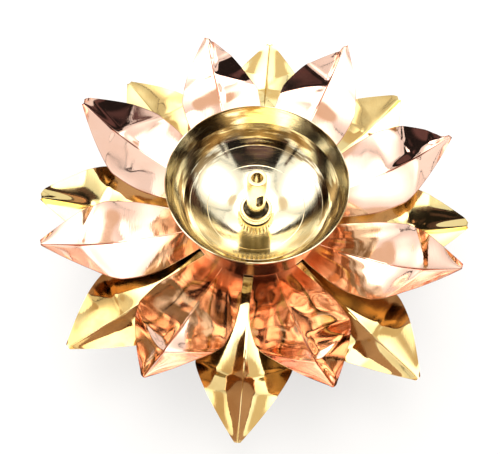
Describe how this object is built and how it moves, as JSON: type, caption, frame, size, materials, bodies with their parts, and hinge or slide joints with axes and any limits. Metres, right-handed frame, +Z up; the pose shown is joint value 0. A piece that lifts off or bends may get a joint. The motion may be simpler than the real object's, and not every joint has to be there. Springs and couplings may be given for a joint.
{
  "type": "lotus diya",
  "caption": "Lotus oil lamp: a turned brass bowl with a central wick tube over turning copper and brass petal layers on a flared foot.",
  "frame": {"origin": "centre of the foot's base, on the table", "axes": "+Z up along the centre screw; -Y towards the side the picture looks from; +X to that view's right"},
  "size_m": [0.1814, 0.1807, 0.0517],
  "materials": {
    "polished_brass": "polished and lacquered turned brass",
    "petal_brass": "polished stamped brass sheet",
    "petal_copper": "polished stamped copper sheet",
    "plated_steel": "zinc plated",
    "seal_rubber": "matt black"
  },
  "bodies": {
    "stand": {"foot": "polished_brass", "petal_spacer": "polished_brass", "bowl": "polished_brass", "seal_washer": "seal_rubber", "clamp_washer": "plated_steel", "centre_screw": "plated_steel"},
    "brass_layer": {"brass_petals": "petal_brass"},
    "copper_layer": {"copper_petals": "petal_copper"},
    "collar": {"collar_nut": "polished_brass"},
    "wick_holder": {"wick_tube": "polished_brass"}
  },
  "joints": [
    {"name": "brass_layer_swivel", "type": "hinge", "parent": "stand", "child": "brass_layer", "pos_m": [0, 0, 0.0203], "axis": [0, 0, 1], "continuous": true},
    {"name": "copper_layer_swivel", "type": "hinge", "parent": "stand", "child": "copper_layer", "pos_m": [0, 0, 0.0221], "axis": [0, 0, 1], "continuous": true},
    {"name": "collar_nut_turn", "type": "hinge", "parent": "stand", "child": "collar", "pos_m": [0, 0, 0.0267], "axis": [0, 0, 1], "continuous": true},
    {"name": "wick_tube_turn", "type": "hinge", "parent": "stand", "child": "wick_holder", "pos_m": [0, 0, 0.034], "axis": [0, 0, 1], "continuous": true}
  ]
}
